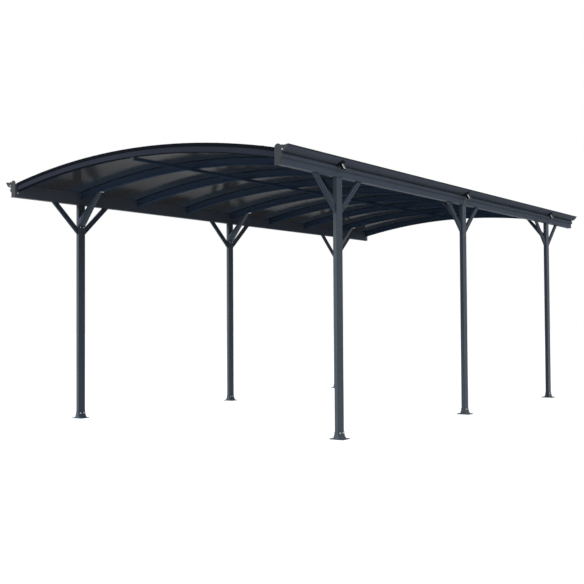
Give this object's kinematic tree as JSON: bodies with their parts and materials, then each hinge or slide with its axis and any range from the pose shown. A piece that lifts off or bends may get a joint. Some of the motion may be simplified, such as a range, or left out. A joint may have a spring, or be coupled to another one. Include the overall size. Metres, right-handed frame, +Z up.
{
  "type": "arched carport",
  "caption": "Free-standing carport with an arched roof of bronze sheets on bows, carried by gutter beams, knee-braced posts and flared feet.",
  "frame": {"origin": "on the ground, in the middle of the plan", "axes": "+Z up, +Y towards the rear along the roof, +X towards the right-hand gutter"},
  "size_m": [3.26, 6.316, 2.4],
  "materials": {
    "post_coating": "satin anthracite powder coat",
    "foot_coating": "satin anthracite powder coat",
    "brace_coating": "satin anthracite powder coat",
    "gutter_coating": "satin anthracite powder coat",
    "bow_coating": "satin anthracite powder coat",
    "strip_coating": "satin dark anthracite powder coat",
    "cap_plastic": "grained grey moulding",
    "joint_strip": "satin light grey",
    "spout_plastic": "glossy black moulding",
    "roof_sheet": "glossy bronze tinted polycarbonate"
  },
  "bodies": {
    "root": {"post_front_left": "post_coating", "post_middle_left": "post_coating", "post_rear_left": "post_coating", "post_front_right": "post_coating", "post_middle_right": "post_coating", "post_rear_right": "post_coating", "foot_front_left": "foot_coating", "foot_middle_left": "foot_coating", "foot_rear_left": "foot_coating", "foot_front_right": "foot_coating", "foot_middle_right": "foot_coating", "foot_rear_right": "foot_coating", "braces_front_left": "brace_coating", "braces_middle_left": "brace_coating", "braces_rear_left": "brace_coating", "braces_front_right": "brace_coating", "braces_middle_right": "brace_coating", "braces_rear_right": "brace_coating", "gutter_front_left": "gutter_coating", "gutter_rear_left": "gutter_coating", "gutter_front_right": "gutter_coating", "gutter_rear_right": "gutter_coating", "gutter_end_caps": "cap_plastic", "gutter_joints": "joint_strip", "spouts_left": "spout_plastic", "spouts_right": "spout_plastic", "bow_1": "bow_coating", "bow_2": "bow_coating", "bow_3": "bow_coating", "bow_4": "bow_coating", "bow_5": "bow_coating", "bow_6": "bow_coating", "bow_7": "bow_coating", "bow_8": "bow_coating", "bow_9": "bow_coating", "roof_sheet_1": "roof_sheet", "roof_sheet_2": "roof_sheet", "roof_sheet_3": "roof_sheet", "roof_sheet_4": "roof_sheet", "roof_sheet_5": "roof_sheet", "roof_sheet_6": "roof_sheet", "roof_sheet_7": "roof_sheet", "roof_sheet_8": "roof_sheet", "cover_strips": "strip_coating", "crown_purlin": "bow_coating"}
  },
  "joints": []
}
